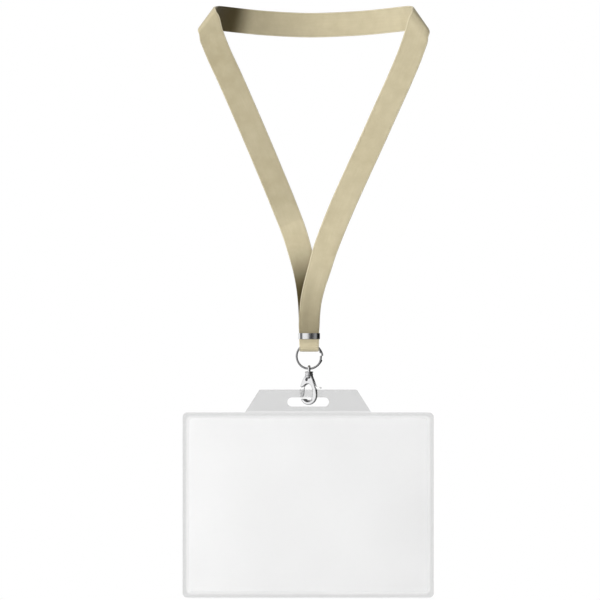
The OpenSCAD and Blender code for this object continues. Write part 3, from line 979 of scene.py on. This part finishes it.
def make_insert():
    """Blank sheet with rounded corners, a little bowed in its pocket."""
    low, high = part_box("insert_card")
    half_w, half_h = (high.x - low.x) / 2, (high.z - low.z) / 2
    thickness = high.y - low.y
    bow = 0.05 * MM
    nx, nz = 24, 18
    loop = resample(rounded(half_w, half_h, 1.5 * MM, 5), 4 * MM)
    grid = [(-half_w + 2 * half_w * i / nx, -half_h + 2 * half_h * j / nz)
            for i in range(1, nx) for j in range(1, nz)]

    def height(x, z):
        return bow * math.cos(math.pi * x / half_w) * math.cos(math.pi * z / half_h / 2) - thickness / 2
    mesh = film_sheet("insert_sheet", [loop], grid, height, thickness * 0.9)
    mesh.transform(Matrix.Translation((low + high) / 2))
    make_piece("insert_sheet", mesh, PAPER, "insert", ["insert_card"])


make_film("film_front", -1, "front_film")
make_film("film_back", 1, "back_film")
make_insert()


# ---------------------------------------------------------------- stage

def make_floor():
    """Plain pale floor under the hanging part."""
    radius = 1.2
    below = 0.25
    count = 96
    z = cad_box[0].z - below
    mesh = bpy.data.meshes.new("floor")
    rim = [(radius * math.cos(2 * math.pi * k / count), radius * math.sin(2 * math.pi * k / count), z)
           for k in range(count)]
    mesh.from_pydata(rim, [], [tuple(range(count))])
    material, tree = new_material("floor_white")
    matt = put(tree, "ShaderNodeBsdfPrincipled", {"Base Color": (0.93, 0.93, 0.93, 1), "Roughness": 0.9})
    finish_material(tree, matt.outputs[0])
    mesh.materials.append(material)
    floor = bpy.data.objects.new("floor", mesh)
    floor.visible_glossy = False
    bpy.context.scene.collection.objects.link(floor)


def area_light(name, place, target, size, power):
    data = bpy.data.lights.new(name, "AREA")
    data.shape = "RECTANGLE"
    data.size, data.size_y = size
    data.energy = power
    lamp = bpy.data.objects.new(name, data)
    lamp.visible_glossy = False
    lamp.location = place
    lamp.rotation_euler = (Vector(target) - Vector(place)).to_track_quat("-Z", "Y").to_euler()
    bpy.context.scene.collection.objects.link(lamp)


def make_world():
    """Studio room: bright on the left, dark on the right, strips by the camera, pale behind."""
    world = bpy.data.worlds.new("studio")
    bpy.context.scene.world = world
    world.use_nodes = True
    tree = world.node_tree
    tree.nodes.clear()
    way = put(tree, "ShaderNodeTexCoord").outputs["Generated"]
    parts = put(tree, "ShaderNodeSeparateXYZ", {0: way}).outputs
    turn = math_node(tree, "ARCTAN2", parts[0], math_node(tree, "MULTIPLY", parts[1], -1))
    place = ramp(tree, turn, -math.pi, math.pi, 0, 1)
    bands = put(tree, "ShaderNodeValToRGB", {0: place})
    # Degrees round from the camera's side, to the right above 0, and how bright the room is there
    stops = [(-180, 0.5), (-140, 0.5), (-100, 0.9), (-60, 1.1), (-28, 0.9), (-20, 0.12), (-12, 0.15),
             (-8, 1.0), (-2, 1.0), (0.5, 0.1), (4, 0.03), (6, 0.3), (12, 0.28), (16, 0.02), (52, 0.005),
             (146, 0.01), (162, 0.35), (180, 0.5)]
    elements = bands.color_ramp.elements
    for k, (degrees, level) in enumerate(stops):
        where = (degrees + 180) / 360
        stop = elements[k] if k < 2 else elements.new(where)
        stop.position = where
        stop.color = (level, level, level, 1)
    level = mix_colour(tree, ramp(tree, parts[2], 0.45, 0.95, 0, 1), bands.outputs[0], (0.85, 0.85, 0.85))
    level = mix_colour(tree, ramp(tree, parts[2], 0.66, 0.78, 0, 1), level, (0.03, 0.03, 0.03))
    level = mix_colour(tree, ramp(tree, parts[2], -0.35, -0.8, 0, 1), level, (0.06, 0.06, 0.06))
    studio = put(tree, "ShaderNodeBackground", {"Color": level, "Strength": 1.0}).outputs[0]
    plain = put(tree, "ShaderNodeBackground", {"Color": (1, 1, 1, 1), "Strength": 1.0}).outputs[0]
    seen = put(tree, "ShaderNodeLightPath").outputs["Is Camera Ray"]
    shown = put(tree, "ShaderNodeMixShader", {0: seen, 1: studio, 2: plain}).outputs[0]
    put(tree, "ShaderNodeOutputWorld", {0: shown})


make_floor()
make_world()
# Name, place, aim, size in metres, power in watts
hook_point, middle, band_point = (0, -0.04, -0.2), (0, -0.04, -0.18), (0, -0.03, -0.02)
area_light("key", (-0.85, -0.9, -0.14), hook_point, (0.5, 0.6), 9.8)
area_light("fill", (1.4, -1.2, 0.05), hook_point, (0.8, 0.8), 9.4)
area_light("top", (0.15, -0.7, 0.7), band_point, (0.5, 0.5), 2.6)
area_light("back", (0.2, 1.5, 0.7), middle, (1.2, 0.8), 16)
bpy.context.scene.view_settings.view_transform = "Standard"
